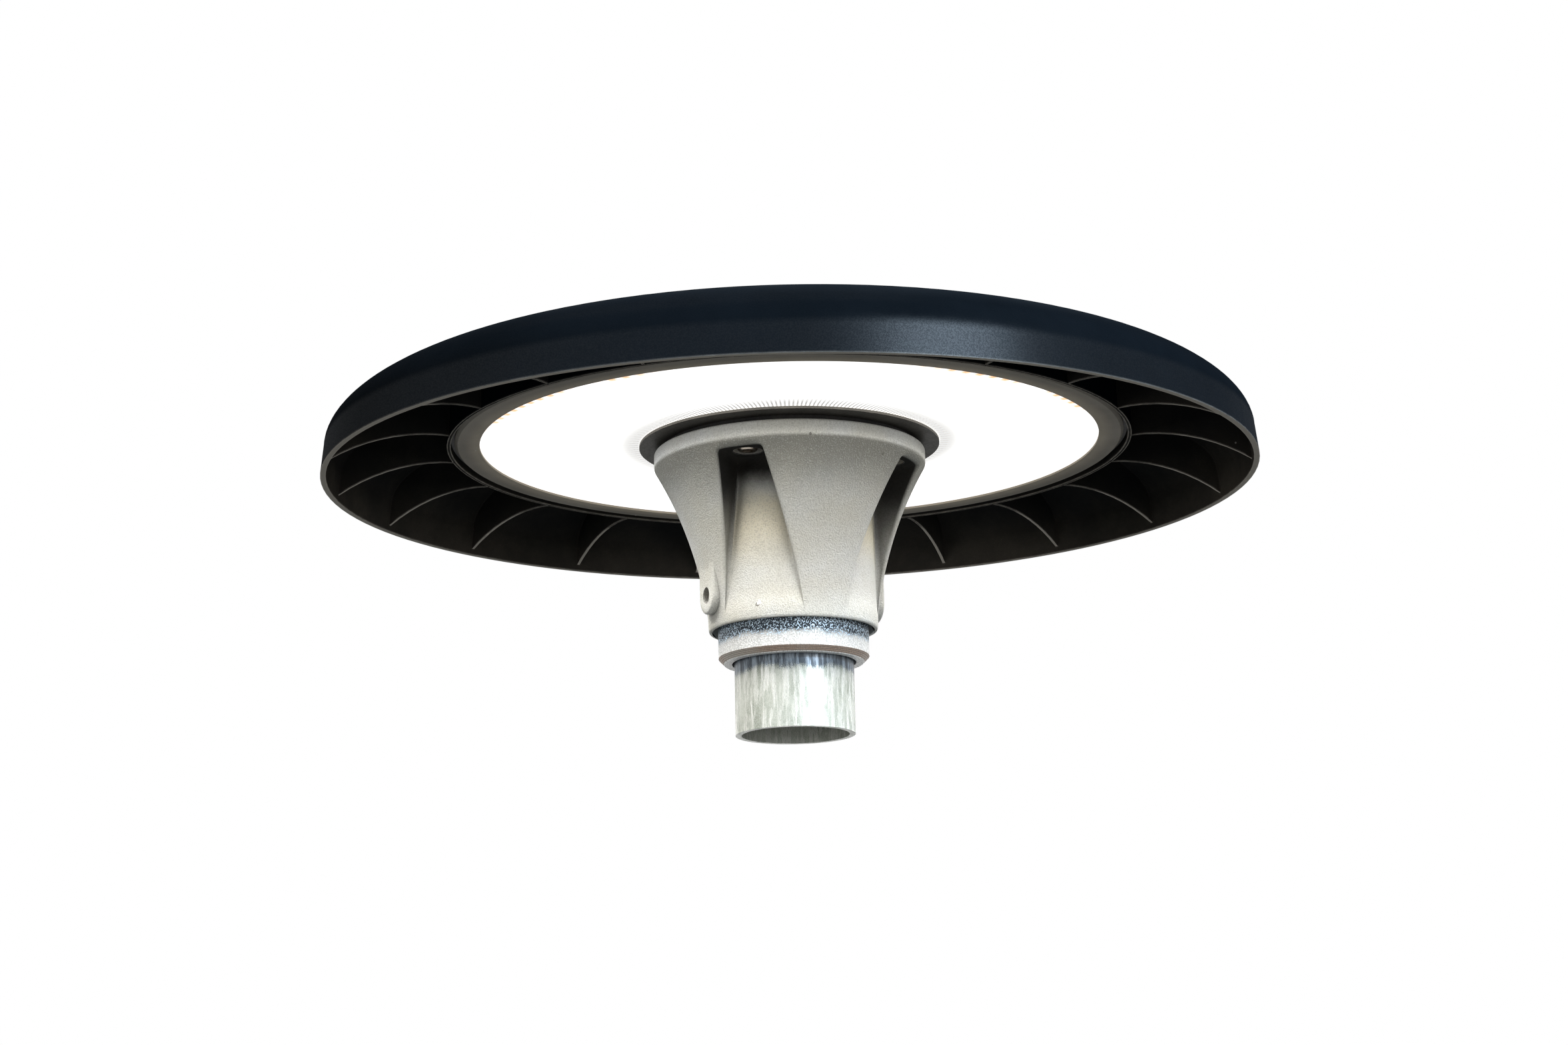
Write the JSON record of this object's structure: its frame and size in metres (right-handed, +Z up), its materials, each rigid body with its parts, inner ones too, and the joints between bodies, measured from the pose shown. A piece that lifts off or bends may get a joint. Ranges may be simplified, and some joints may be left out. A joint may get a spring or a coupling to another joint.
{
  "type": "led park light",
  "caption": "Post-top LED park light: shallow ribbed dome over an edge-lit ring, on a flared cast neck clamped to a reducing sleeve and a steel post stub.",
  "frame": {"origin": "centre of the post stub's cut lower end", "axes": "+Z up along the post towards the dome; -Y is the front, towards one screw hollow"},
  "size_m": [0.475, 0.475, 0.1903],
  "materials": {
    "canopy_paint": "satin dark powder coat",
    "neck_paint": "pale grey powder coat, fine orange peel",
    "plate_paint": "dark grey powder coat",
    "galvanised": "hot-dip galvanised, mottled",
    "stainless": "stainless",
    "light_guide": "clear prismatic sheet, lit from its edge",
    "reflector": "white sheet",
    "aluminium": "mill finish",
    "rubber": "matt black",
    "circuit_board": "white mask",
    "led": "phosphor",
    "driver_case": "moulded",
    "terminal": "moulded",
    "gland": "moulded nylon"
  },
  "bodies": {
    "root": {"canopy": "canopy_paint", "neck": "neck_paint", "centre_plate": "plate_paint", "bezel": "plate_paint", "pole": "galvanised", "spigot_sleeve": "galvanised", "neck_screws": "stainless", "set_screws": "stainless", "bezel_screws": "stainless", "driver_screws": "stainless", "terminal_screws": "stainless", "light_guide": "light_guide", "reflector": "reflector", "back_plate": "aluminium", "neck_gasket": "rubber", "inner_seal": "rubber", "lens_seal": "rubber", "outer_seal": "rubber", "gland_seal": "rubber", "led_board": "circuit_board", "leds": "led", "driver": "driver_case", "terminal_block": "terminal", "gland_body": "gland", "gland_locknut": "gland", "gland_cap": "gland"}
  },
  "joints": []
}
